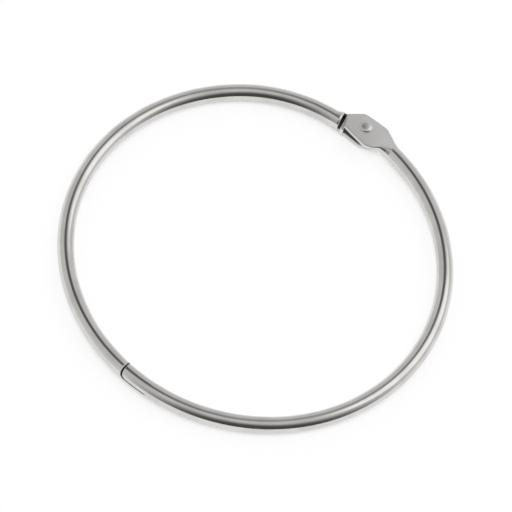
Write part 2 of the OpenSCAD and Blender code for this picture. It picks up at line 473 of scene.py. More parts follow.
@dataclass(frozen=True)
class Section:
    """One cross-section of a forged end, standing upright over a line in plan.

    Attributes:
        outer: Plan point on the ring's outer side.
        inner: Plan point on the ring's inner side.
        low: Lowest height, counted from the wire's centre plane.
        high: Highest height.
        rounding: Radius of the section's four corners.
        ceiling: Height above which the section is cut away.
        floor: Height below which it is cut away.
        web: Width that is kept on the outer side beside a notch from above.
        notch_floor: Height of the notch's floor.
        centre: Centre of the ring, that set back points are turned about.
        set_back: Distance that a point is moved along the wire, by its distance outwards and
            its height.
    """

    outer: Vector
    inner: Vector
    low: float
    high: float
    rounding: float
    ceiling: float = math.inf
    floor: float = -math.inf
    web: float = math.inf
    notch_floor: float = -math.inf
    centre: Vector | None = None
    set_back: Callable[[float, float], float] | None = None

    def points(self, count: int, plane_z: float) -> list[Vector]:
        """Places the section's points.

        Args:
            count: Number of points, a multiple of 4.
            plane_z: Height of the wire's centre plane.

        Returns:
            The points, in order round the section.
        """
        across = (self.outer - self.inner) / 2
        direction = across.normalized()
        middle, middle_z = (self.outer + self.inner) / 2, (self.high + self.low) / 2
        placed = []
        for w, h in self.notched(self.outline(count, across.length)):
            h = min(max(middle_z + h, self.floor), self.ceiling)
            plan = middle + direction * w
            if self.set_back:
                arm = plan - self.centre.xy
                turned = Matrix.Rotation(self.set_back(w, h) / arm.length, 2)
                plan = self.centre.xy + turned @ arm
            placed.append(Vector((plan.x, plan.y, plane_z + h)))
        return placed

    def outline(self, count: int, half_w: float) -> list[tuple[float, float]]:
        """Rounded rectangle round the section's middle.

        Args:
            count: Number of points.
            half_w: Half its width.

        Returns:
            Distances outwards and upwards from the middle.
        """
        half_h = (self.high - self.low) / 2
        r = min(self.rounding, half_w, half_h)
        corners = []
        for i in range(count):
            turn = (i + 0.5) * 2 * math.pi / count
            cos, sin = math.cos(turn), math.sin(turn)
            corners.append((math.copysign(half_w - r, cos) + r * cos,
                            math.copysign(half_h - r, sin) + r * sin))
        return corners

    def notched(self, outline: list[tuple[float, float]]) -> list[tuple[float, float]]:
        """Leads an outline down the side of its notch and along the notch's floor.

        Args:
            outline: Distances outwards and upwards from the section's middle.

        Returns:
            The outline, with as many points as before.
        """
        if self.web == math.inf:
            return outline
        wall = max(w for w, h in outline) - self.web
        floor = self.notch_floor - (self.high + self.low) / 2
        cut = [i for i, (w, h) in enumerate(outline) if w < wall and h > floor]
        top, far = outline[cut[0]][1], outline[cut[-1]][0]
        down, along = top - floor, wall - far
        for k, i in enumerate(cut):
            run = (down + along) * k / (len(cut) - 1)
            outline[i] = (wall, top - run) if run < down else (wall - run + down, floor)
        return outline


@dataclass
class Loft:
    """Skin through a row of sections, open at the first one.

    Attributes:
        plane_z: Height of the wire's centre plane.
        count: Number of points round each section.
        sections: The sections, in order.
        flats: Finish of the flat top and bottom up to each section.
        sides: Finish of the other faces up to each section.
        inner_sides: Finish of the upper faces on the ring's inner side up to each section.
    """

    plane_z: float
    count: int
    sections: list[Section] = field(default_factory=list)
    flats: list[Surface] = field(default_factory=list)
    sides: list[Surface] = field(default_factory=list)
    inner_sides: list[Surface] = field(default_factory=list)

    def add(self, section: Section, flats: Surface = Surface.DRAWN, sides: Surface = Surface.DRAWN,
            inner: Surface | None = None) -> None:
        """Adds the next section.

        Args:
            section: The section.
            flats: Finish of the flat top and bottom up to it.
            sides: Finish of the other faces up to it.
            inner: Finish of the upper faces on the ring's inner side, where it is another one.
        """
        self.sections.append(section)
        self.flats.append(flats)
        self.sides.append(sides)
        self.inner_sides.append(inner or sides)

    def cap(self, mesh: bmesh.types.BMesh, ring: list[bmesh.types.BMVert],
            surface: Surface) -> None:
        """Closes an end with upright strips, so that a set back end keeps its curve.

        Args:
            mesh: The mesh that takes the faces.
            ring: Points of the last section.
            surface: Finish of the end face.
        """
        last = len(ring) - 1
        for i in range(len(ring) // 2 - 1):
            corners = (ring[i], ring[i + 1], ring[last - 1 - i], ring[last - i])
            mesh.faces.new(corners).material_index = surface.value

    def skin(self, mesh: bmesh.types.BMesh, end: Surface) -> None:
        """Adds the skin to a mesh and closes its last section.

        Args:
            mesh: The mesh that takes the faces.
            end: Finish of the end face.
        """
        rings = [[mesh.verts.new(point) for point in section.points(self.count, self.plane_z)]
                 for section in self.sections]
        quarter = self.count // 4
        # From the top's middle, down the inner side to a little below its middle
        inner_upper = range(quarter, 9 * quarter // 4)
        for k, (first, second) in enumerate(zip(rings, rings[1:]), 1):
            for i in range(self.count):
                j = (i + 1) % self.count
                face = mesh.faces.new((first[i], first[j], second[j], second[i]))
                if i in (quarter - 1, 3 * quarter - 1):
                    surface = self.flats[k]
                else:
                    surface = (self.inner_sides if i in inner_upper else self.sides)[k]
                face.material_index = surface.value
        self.cap(mesh, rings[-1], end)


class NodeTree(NodeMaker):
    """A Geometry Nodes tree, which ends in Realize Instances and Set Material."""

    name = "tree"

    def __init__(self) -> None:
        """Makes the empty tree with its output."""
        super().__init__(bpy.data.node_groups.new(self.name, "GeometryNodeTree"))
        self.tree.interface.new_socket("Geometry", in_out="OUTPUT",
                                       socket_type="NodeSocketGeometry")
        self.sockets: dict[str, str] = {}
        self.declare("Material", "NodeSocketMaterial")

    def declare(self, name: str, kind: str = "NodeSocketFloat") -> None:
        """Adds a named input to the tree."""
        socket = self.tree.interface.new_socket(name, in_out="INPUT", socket_type=kind)
        self.sockets[name] = socket.identifier

    def add(self, kind: str, **inputs: object) -> bpy.types.Node:
        """Adds a node and fills its inputs.

        Args:
            kind: The node's full type name.
            **inputs: Values or sockets, by input name with underscores for spaces.

        Returns:
            The new node.
        """
        node = self.tree.nodes.new(kind)
        for name, value in inputs.items():
            self.fill(node.inputs[name.replace("_", " ")], value)
        return node

    def finish(self, geometry: bpy.types.NodeSocket, given: bpy.types.Node) -> None:
        """Ends the tree.

        Args:
            geometry: The finished geometry.
            given: The tree's Group Input node.
        """
        real = self.add("GeometryNodeRealizeInstances", Geometry=geometry)
        dressed = self.add("GeometryNodeSetMaterial", Geometry=real.outputs[0],
                           Material=given.outputs["Material"])
        output = self.tree.nodes.new("NodeGroupOutput")
        self.tree.links.new(dressed.outputs[0], output.inputs[0])

    def evaluate(self, **values: object) -> bpy.types.Mesh:
        """Runs the tree and turns its result into a plain mesh.

        Args:
            **values: The tree's inputs, by name with underscores for spaces.

        Returns:
            The mesh.
        """
        holder = bpy.data.objects.new(self.name, bpy.data.meshes.new(self.name))
        bpy.context.scene.collection.objects.link(holder)
        modifier = holder.modifiers.new(self.name, "NODES")
        modifier.node_group = self.tree
        for name, value in values.items():
            modifier[self.sockets[name.replace("_", " ")]] = value
        holder.update_tag()
        evaluated = holder.evaluated_get(bpy.context.evaluated_depsgraph_get())
        mesh = bpy.data.meshes.new_from_object(evaluated)
        holder.modifiers.remove(modifier)
        bpy.data.objects.remove(holder)
        return mesh


class WireRunTree(NodeTree):
    """Round wire swept along part of the ring."""

    name = "wire_run"

    def __init__(self) -> None:
        """Builds the tree."""
        super().__init__()
        self.declare("Bend Centre", "NodeSocketVector")
        for name in ("Bend Radius", "Wire Radius", "Start Angle", "Sweep Angle"):
            self.declare(name)
        for name in ("Steps", "Points Round"):
            self.declare(name, "NodeSocketInt")
        given = self.tree.nodes.new("NodeGroupInput")
        points_round = given.outputs["Points Round"]
        arc = self.add("GeometryNodeCurveArc", Resolution=given.outputs["Steps"],
                       Radius=given.outputs["Bend Radius"],
                       Start_Angle=given.outputs["Start Angle"],
                       Sweep_Angle=given.outputs["Sweep Angle"])
        circle = self.add("GeometryNodeCurvePrimitiveCircle", Resolution=points_round,
                          Radius=given.outputs["Wire Radius"])
        # Half a step round, so that the swept points meet those of the lofted sections
        half_step = self.tree.nodes.new("ShaderNodeCombineXYZ")
        self.fill(half_step.inputs["Z"], self.math("DIVIDE", math.pi, points_round))
        profile = self.add("GeometryNodeTransform", Geometry=circle.outputs[0],
                           Rotation=half_step.outputs[0])
        swept = self.add("GeometryNodeCurveToMesh", Curve=arc.outputs[0],
                         Profile_Curve=profile.outputs[0])
        placed = self.add("GeometryNodeTransform", Geometry=swept.outputs[0],
                          Translation=given.outputs["Bend Centre"])
        self.finish(placed.outputs[0], given)


class ToothRowTree(NodeTree):
    """Row of like teeth round the ring, each an instance of one tooth."""

    name = "tooth_row"

    def __init__(self) -> None:
        """Builds the tree."""
        super().__init__()
        self.declare("Ring Centre", "NodeSocketVector")
        self.declare("Tooth", "NodeSocketObject")
        self.declare("Teeth", "NodeSocketInt")
        for name in ("Middle Angle", "Pitch Angle"):
            self.declare(name)
        given = self.tree.nodes.new("NodeGroupInput")
        seats = self.add("GeometryNodeMeshLine", Count=given.outputs["Teeth"],
                         Offset=(0.0, 0.0, 0.0))
        tooth = self.add("GeometryNodeObjectInfo", Object=given.outputs["Tooth"])
        index = self.tree.nodes.new("GeometryNodeInputIndex")
        last = self.math("SUBTRACT", given.outputs["Teeth"], 1.0)
        from_middle = self.math("SUBTRACT", index.outputs[0], self.math("DIVIDE", last, 2.0))
        turn = self.math("MULTIPLY_ADD", from_middle, given.outputs["Pitch Angle"],
                         given.outputs["Middle Angle"])
        rotation = self.tree.nodes.new("ShaderNodeCombineXYZ")
        self.fill(rotation.inputs["Z"], turn)
        row = self.add("GeometryNodeInstanceOnPoints", Points=seats.outputs[0],
                       Instance=tooth.outputs["Geometry"], Rotation=rotation.outputs[0])
        placed = self.add("GeometryNodeTransform", Geometry=row.outputs[0],
                          Translation=given.outputs["Ring Centre"])
        self.finish(placed.outputs[0], given)


def smooth_between(anchors: Sequence[Sequence[float]], t: float, reach: float = 0.16,
                   either_side: int = 4) -> list[float]:
    """Point on a broken line through anchors, with its corners eased.

    Args:
        anchors: Rows of numbers, one row for each whole t.
        t: Place on the line.
        reach: How far either side of a corner the easing reaches.
        either_side: Number of places either side of t that are averaged.

    Returns:
        The eased row of numbers at t.
    """
    reach = min(reach, t, len(anchors) - 1 - t)
    samples = [t + reach * k / either_side for k in range(-either_side, either_side + 1)]
    rows = []
    for place in samples:
        i = min(int(place), len(anchors) - 2)
        part = place - i
        rows.append([a + (b - a) * part for a, b in zip(anchors[i], anchors[i + 1])])
    return [sum(column) / len(rows) for column in zip(*rows)]


def new_piece(name: str, mesh: bmesh.types.BMesh,
              materials: Iterable[bpy.types.Material]) -> bpy.types.Object:
    """Closes a mesh and makes it an object at the origin.

    Args:
        name: The piece's name.
        mesh: The mesh, which is freed.
        materials: Its materials, in the order of Surface.

    Returns:
        The object.
    """
    bmesh.ops.remove_doubles(mesh, verts=mesh.verts, dist=WELD_DISTANCE)
    bmesh.ops.dissolve_degenerate(mesh, edges=mesh.edges, dist=SHORTEST_EDGE)
    bmesh.ops.recalc_face_normals(mesh, faces=mesh.faces)
    data = bpy.data.meshes.new(name)
    mesh.to_mesh(data)
    mesh.free()
    for material in materials:
        data.materials.append(material)
    piece = bpy.data.objects.new(name, data)
    bpy.context.scene.collection.objects.link(piece)
    return piece


def work(piece: bpy.types.Object, tool: bpy.types.Object, working: Working) -> None:
    """Cuts one closed mesh with another, or joins them, and removes the tool.

    Args:
        piece: The piece that is changed.
        tool: The closed mesh that cuts or is joined.
        working: Whether it is joined or cuts.
    """
    modifier = piece.modifiers.new("tool", "BOOLEAN")
    modifier.operation = working.value
    modifier.solver = "EXACT"
    modifier.object = tool
    evaluated = piece.evaluated_get(bpy.context.evaluated_depsgraph_get())
    made = bpy.data.meshes.new_from_object(evaluated)
    piece.modifiers.remove(modifier)
    old, piece.data = piece.data, made
    made.name = piece.name
    bpy.data.meshes.remove(old)
    bpy.data.objects.remove(tool)


def shade(piece: bpy.types.Object, angle: float = SHARP_EDGE) -> None:
    """Shades a piece smooth, apart from edges sharper than an angle."""
    piece.data.shade_smooth()
    piece.data.set_sharp_from_angle(angle=angle)


def pin(name: str, centre: Vector, radius: float, low: float, high: float,
        segments: int = 64) -> bpy.types.Object:
    """Makes a plain upright cylinder, as a tool that drills a hole.

    Args:
        name: The tool's name.
        centre: Its axis in plan.
        radius: Its radius.
        low: Its lowest height.
        high: Its highest height.
        segments: Number of its flat sides.

    Returns:
        The tool.
    """
    mesh = bmesh.new()
    bmesh.ops.create_cone(mesh, cap_ends=True, segments=segments, radius1=radius, radius2=radius,
                          depth=high - low,
                          matrix=Matrix.Translation((centre.x, centre.y, (low + high) / 2)))
    return new_piece(name, mesh, ())


# ---------------------------------------------------------------------------- the ring's pieces


@dataclass
class HalfRing:
    """What the two halves share: the drawn wire and the lapped, toothed free end.

    Attributes:
        sizes: Main sizes of the ring.
        hinge: Sizes of the leaves and the rivet.
        lap: Sizes of the lapped free ends.
        finishes: Materials, in the order of Surface.
        wire_run: Tree that sweeps plain wire.
        tooth_row: Tree that lays out the teeth.
        slant: Angle of the half's hinge end to the line through the hinge.
        points_round: Number of points round the wire.
        sweep_steps: Steps to the radian along the swept wire.
        least_steps: Fewest steps of a swept run.
        lap_neck: Length of wire that is lofted before the lap's step.
        lap_ease: Rounding of the lap's step.
        lap_tip_r: Rounding of the lap's tip.
        lap_steps: Sections of the neck, of the lap's face and of its rounded tip.
    """

    sizes: RingSizes
    hinge: HingeSizes
    lap: LapSizes
    finishes: tuple[bpy.types.Material, ...]
    wire_run: WireRunTree
    tooth_row: ToothRowTree
    slant: float = 0.0
    points_round: int = 64
    sweep_steps: int = 72
    least_steps: int = 24
    lap_neck: float = 0.8 * MM
    lap_ease: float = 0.08 * MM
    lap_tip_r: float = 0.2 * MM
    lap_steps: tuple[int, int, int] = (6, 12, 6)

    @property
    def end_line(self) -> Vector:
        """Direction in plan along the half's slanted end, outwards."""
        return (self.slanted(0, 1) - self.slanted(0, 0)).normalized()

    def round_section(self, bend: Bend, angle: float, shrink: float = 0.0,
                      **shape: object) -> Section:
        """Section of the round wire at an angle of a bend, made smaller all round by shrink."""
        r = self.sizes.wire_r - shrink
        return Section(bend.radial(angle, r), bend.radial(angle, -r), -r, r, r, **shape)

    def paint_shade_between_leaves(self, mesh: bmesh.types.BMesh, height: float) -> None:
        """Paints shade onto the leaf's face between the leaves, with the darker nickel material.

        Args:
            mesh: The half's mesh.
            height: Height of that face from the wire's centre plane.
        """
        for face in mesh.faces:
            off = abs(face.calc_center_median().z - self.sizes.plane_z - height)
            if off < SAME_HEIGHT and face.material_index == Surface.PRESSED.value:
                face.material_index = Surface.RECESS.value

    def rivet_point(self, x: float, y: float) -> Vector:
        """Plan point given along and outwards from the rivet."""
        return Vector((self.sizes.pivot.x + x, self.sizes.pivot.y + y))

    def slanted(self, x: float, y: float) -> Vector:
        """Plan point given square to the half's slanted end, and along it, from the rivet."""
        cos, sin = math.cos(self.slant), math.sin(self.slant)
        return self.rivet_point(x * cos - y * sin, x * sin + y * cos)

    def sweep(self, mesh: bmesh.types.BMesh, bend: Bend, start: float, end: float) -> None:
        """Sweeps the plain wire between two angles of a bend, ready to be welded at both ends.

        Args:
            mesh: The mesh that takes the open tube.
            bend: The bend that the wire follows.
            start: First angle.
            end: Last angle.
        """
        swept = self.wire_run.evaluate(
            Material=self.finishes[Surface.DRAWN.value], Bend_Centre=bend.centre,
            Bend_Radius=bend.radius, Wire_Radius=self.sizes.wire_r, Start_Angle=start,
            Sweep_Angle=end - start, Points_Round=self.points_round,
            Steps=max(self.least_steps, int((end - start) * self.sweep_steps)))
        before = len(mesh.verts)
        mesh.from_mesh(swept)
        bpy.data.meshes.remove(swept)
        mesh.verts.ensure_lookup_table()
        rim = [vert for vert in mesh.verts[before:]
               if any(len(edge.link_faces) == 1 for edge in vert.link_edges)]
        for angle in (start, end):
            section = self.round_section(bend, angle)
            for point in section.points(self.points_round, self.sizes.plane_z):
                nearest = min(rim, key=lambda vert: (vert.co - point).length_squared)
                nearest.co = point

    def lap_end(self, side: LapSide, welded: float, step: float, tip: float) -> Loft:
        """Lofts the free end from the round wire to its half-round tip.

        Args:
            side: Which half of the wire is kept.
            welded: Angle at which the loft meets the swept wire.
            step: Angle of the step that cuts the wire to a half.
            tip: Angle of the tip.

        Returns:
            The loft, from the swept wire outwards.
        """
        ring, lap = self.sizes.ring, self.lap
        loft = Loft(self.sizes.plane_z, self.points_round)
        ahead = math.copysign(1, tip - step)
        ease = ring.angle_of(self.lap_ease) * ahead
        face = side.value * lap.half_gap
        # The seam is shaped at the lower half's step, and at the upper half's tip
        at_step = 1.0 if side is LapSide.LOWER else 0.0
        neck_steps, face_steps, tip_steps = self.lap_steps

        def section(angle: float, skew: float, shrink: float = 0.0,
                    height: float | None = None) -> Section:
            """Section of the free end.

            Args:
                angle: Its angle.
                skew: Share of the seam's set-back that it has.
                shrink: How much smaller than the wire it is, all round.
                height: Height at which it is cut to a half, if it is.

            Returns:
                The section.
            """
            shape = {"centre": ring.centre,
                     "set_back": lambda w, h: skew * lap.set_back(w, h - face)}
            if height is not None:
                shape["floor" if side is LapSide.UPPER else "ceiling"] = height
            return self.round_section(ring, angle, shrink, **shape)

        for k in range(neck_steps + 1):
            angle = welded + (step - ease - welded) * k / neck_steps
            loft.add(section(angle, at_step * k / neck_steps))
        loft.add(section(step, at_step, 0.0, -side.value * (self.sizes.wire_r - self.lap_ease)))
        # The step's face and the lap's faces take the sawn steel with painted shade
        loft.add(section(step, at_step, 0.0, face), Surface.SAWN, Surface.SAWN)
        flat = abs(tip - step) * ring.radius - self.lap_tip_r
        for k in range(1, face_steps + 1):
            skew = at_step + (1 - 2 * at_step) * k / face_steps
            loft.add(section(step + ahead * ring.angle_of(flat * k / face_steps), skew, 0.0, face),
                     Surface.SAWN)
        for sine, inset in quarter_turn(tip_steps):
            angle = step + ahead * ring.angle_of(flat + self.lap_tip_r * sine)
            loft.add(section(angle, 1 - at_step, self.lap_tip_r * inset, face), Surface.SAWN)
        return loft

    def teeth(self, extra: float, name: str) -> bpy.types.Object:
        """Makes the row of tapered teeth that cross the lap.

        Args:
            extra: How much wider and longer each tooth is made all round, for the notches.
            name: Name of the row.

        Returns:
            The row as one object, hanging from the upper lap face.
        """
        lap = self.lap
        top, bottom = lap.half_gap, lap.half_gap - lap.tooth_h
        if extra:
            top, bottom = -lap.half_gap, -lap.half_gap - lap.tooth_h
        half_len = lap.tooth_len / 2 + extra
        root_y, tip_y = lap.tooth_w / 2 + extra, lap.tooth_w / 4 + extra
        profile = ((-root_y, top + lap.tooth_root), (root_y, top + lap.tooth_root), (root_y, top),
                   (tip_y, bottom), (-tip_y, bottom), (-root_y, top))
        mesh = bmesh.new()
        ends = []
        for reach in (-half_len, half_len):
            x = self.sizes.ring.radius + reach
            ends.append([mesh.verts.new((x, y, z)) for y, z in profile])
        for i in range(len(profile)):
            j = (i + 1) % len(profile)
            mesh.faces.new((ends[0][i], ends[0][j], ends[1][j], ends[1][i]))
        mesh.faces.new(ends[0])
        mesh.faces.new(reversed(ends[1]))
        tooth = new_piece(name + "_tooth", mesh, ())
        # The teeth take the sawn steel with painted shade
        row_data = self.tooth_row.evaluate(
            Material=self.finishes[Surface.SAWN.value], Ring_Centre=self.sizes.ring.centre,
            Tooth=tooth, Teeth=lap.tooth_n, Middle_Angle=self.sizes.lap_middle,
            Pitch_Angle=self.sizes.ring.angle_of(lap.tooth_pitch))
        bpy.data.objects.remove(tooth)
        row_mesh = bmesh.new()
        row_mesh.from_mesh(row_data)
        for face in row_mesh.faces:
            face.material_index = Surface.SAWN.value
        return new_piece(name, row_mesh, self.finishes)

    def drilled(self, piece: bpy.types.Object, fit: float, low: float,
                high: float) -> bpy.types.Object:
        """Drills the rivet's hole through a half and shades it.

        Args:
            piece: The half.
            fit: Clearance of the hole round the rivet's shank.
            low: Lowest height that the drill reaches.
            high: Highest height that it reaches.

        Returns:
            The finished half.
        """
        drill = pin("shank_drill", self.sizes.pivot, self.hinge.shank_r + fit, low, high)
        work(piece, drill, Working.CUT)
        shade(piece)
        return piece


@dataclass
class FixedHalf(HalfRing):
    """The half that stays still, with the six-sided upper leaf.

    Attributes:
        cut_reach: Distance from the rivet to the slanted cut end, square to it.
        cut_out: Outer end of the cut, along it.
        cut_in: Inner end of the cut, along it.
        side_share: Share of the way from the cut to the belly at which the first corner pairs up.
        leaf_out: Distance outwards from the rivet to the leaf's outer side.
        leaf_in: Distance inwards to its belly.
        out_drift: How much the outer side drifts out, and back in, along its length.
        outer_edge_x: Distance from the rivet to the outer side's start, towards the cut.
        outer_x: Distance to its middle, towards the wire.
        belly_x: Distance to the belly, towards the wire.
        taper_x: Distance to the point where the leaf starts to narrow into the wire.
        taper_in: Distance inwards to the leaf's inner side there.
        neck_x: Distances from the rivet to the sections of the neck.
        neck_wide: How much wider than the wire each of them is, on both sides.
        neck_drop: How far the first one's underside lies below the leaf's.
        neck_low: Depth of the second one, as a share of the wire's radius.
        neck_edge: Rounding of the first two.
        neck_round: Rounding of the third, as a share of the wire's radius.
        round_x: Distance to the first full round section.
        pressed_to: Place on the row of sections where the pressed finish ends.
        leaf_steps: Sections between two places of the row.
        edge_steps: Sections of the cut end's rounded edge.
        edge_reach: How far the rounded edge stands out, as a share of its rounding.
    """

    slant: float = math.radians(22)
    cut_reach: float = 4.36 * MM
    cut_out: float = 2.0 * MM
    cut_in: float = 1.3 * MM
    side_share: float = 0.45
    leaf_out: float = 2.6 * MM
    leaf_in: float = 3.95 * MM
    out_drift: float = 0.05 * MM
    outer_edge_x: float = 2.0 * MM
    outer_x: float = 1.1 * MM
    belly_x: float = 1.9 * MM
    taper_x: float = 3.8 * MM
    taper_in: float = 3.4 * MM
    neck_x: tuple[float, ...] = (5.4 * MM, 6.7 * MM, 7.7 * MM)
    neck_wide: tuple[float, ...] = (0.28 * MM, 0.02 * MM, 0.0)
    neck_drop: float = 0.75 * MM
    neck_low: float = 0.9
    neck_edge: tuple[float, ...] = (0.55 * MM, 1.2 * MM)
    neck_round: float = 0.97
    round_x: float = 8.6 * MM
    pressed_to: float = 5.6
    leaf_steps: int = 10
    edge_steps: int = 4
    edge_reach: float = 0.6

    def leaf(self) -> Loft:
        """Lofts the upper leaf from the swept wire to its slanted cut end.

        Returns:
            The loft, from the swept wire outwards.
        """
        r, ring, edge = self.sizes.wire_r, self.sizes.ring, self.hinge.edge_r
        bottom = r - self.hinge.leaf_t

        def row(outer: Vector, inner: Vector, low: float, rounding: float) -> tuple[float, ...]:
            """Numbers of one anchor: its two plan points, its lowest height and its rounding."""
            return (*outer, *inner, low, rounding)

        def leaf_row(outer_x: float, outer_y: float, inner_x: float,
                     inner_y: float) -> tuple[float, ...]:
            """Anchor of the flat leaf, by its outer and inner points from the rivet."""
            inner = self.rivet_point(inner_x, -inner_y)
            return row(self.rivet_point(outer_x, outer_y), inner, bottom, edge)

        def neck_row(x: float, wide: float, low: float, rounding: float) -> tuple[float, ...]:
            """Anchor across the wire at x, wider than the wire by wide on both sides."""
            angle = ring.angle_of_x(x)
            return row(ring.radial(angle, r + wide), ring.radial(angle, -r - wide), low, rounding)

        cut = (self.slanted(-self.cut_reach, self.cut_out),
               self.slanted(-self.cut_reach, -self.cut_in))
        side = cut[1].lerp(self.rivet_point(self.belly_x, -self.leaf_in), self.side_share)
        neck_low = (bottom - self.neck_drop, -self.neck_low * r, -r)
        neck_edge = (*self.neck_edge, self.neck_round * r)
        anchors = [
            row(*cut, bottom, edge),
            row(self.rivet_point(-self.outer_edge_x, self.leaf_out), side, bottom, edge),
            leaf_row(self.outer_x, self.leaf_out + self.out_drift, self.belly_x, self.leaf_in),
            leaf_row(self.taper_x, self.leaf_out - self.out_drift, self.taper_x, self.taper_in),
            *map(neck_row, self.neck_x, self.neck_wide, neck_low, neck_edge),
            neck_row(self.round_x, 0.0, -r, r),
        ]
        loft = Loft(self.sizes.plane_z, self.points_round)
        for k in range((len(anchors) - 1) * self.leaf_steps, -1, -1):
            place = k / self.leaf_steps
            ox, oy, ix, iy, low, rounding = smooth_between(anchors, place)
            surface = Surface.PRESSED if place < self.pressed_to else Surface.DRAWN
            loft.add(Section(Vector((ox, oy)), Vector((ix, iy)), low, r, rounding), surface)
        for sine, versine in quarter_turn(self.edge_steps):
            inset, reach = edge * versine, edge * sine
            outer = self.slanted(-self.cut_reach - reach * self.edge_reach, self.cut_out - inset)
            inner = self.slanted(-self.cut_reach - reach * self.edge_reach, inset - self.cut_in)
            loft.add(Section(outer, inner, bottom + inset, r - inset, edge),
                     Surface.PRESSED, Surface.PRESSED)
        return loft

    def build(self) -> bpy.types.Object:
        """Builds the half as one closed mesh.

        Returns:
            The finished piece.
        """
        ring = self.sizes.ring
        lap_half = ring.angle_of(self.lap.length) / 2
        step = self.sizes.lap_middle + lap_half
        tip = self.sizes.lap_middle - lap_half + ring.angle_of(self.lap.end_gap)
        welded = step + ring.angle_of(self.lap_neck)
        mesh = bmesh.new()
        self.sweep(mesh, ring, welded, ring.angle_of_x(self.round_x))
        # The lap's end face takes the sawn steel with painted shade
        self.lap_end(LapSide.UPPER, welded, step, tip).skin(mesh, Surface.SAWN)
        self.leaf().skin(mesh, Surface.PRESSED)
        # Paints the shade between the leaves onto the upper leaf's underside
        self.paint_shade_between_leaves(mesh, self.sizes.wire_r - self.hinge.leaf_t)
        piece = new_piece("fixed_half_wire", mesh, self.finishes)
        work(piece, self.teeth(0.0, "lap_teeth"), Working.JOIN)
        z = self.sizes.plane_z
        return self.drilled(piece, self.hinge.fixed_fit, z, z + 2 * self.sizes.wire_r)

    def dress(self, piece: bpy.types.Object) -> None:
        """Puts the piece on its body, in place of its CAD node.

        Args:
            piece: The finished piece.
        """
        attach(piece, "fixed_half")
        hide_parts("fixed_half_ring")


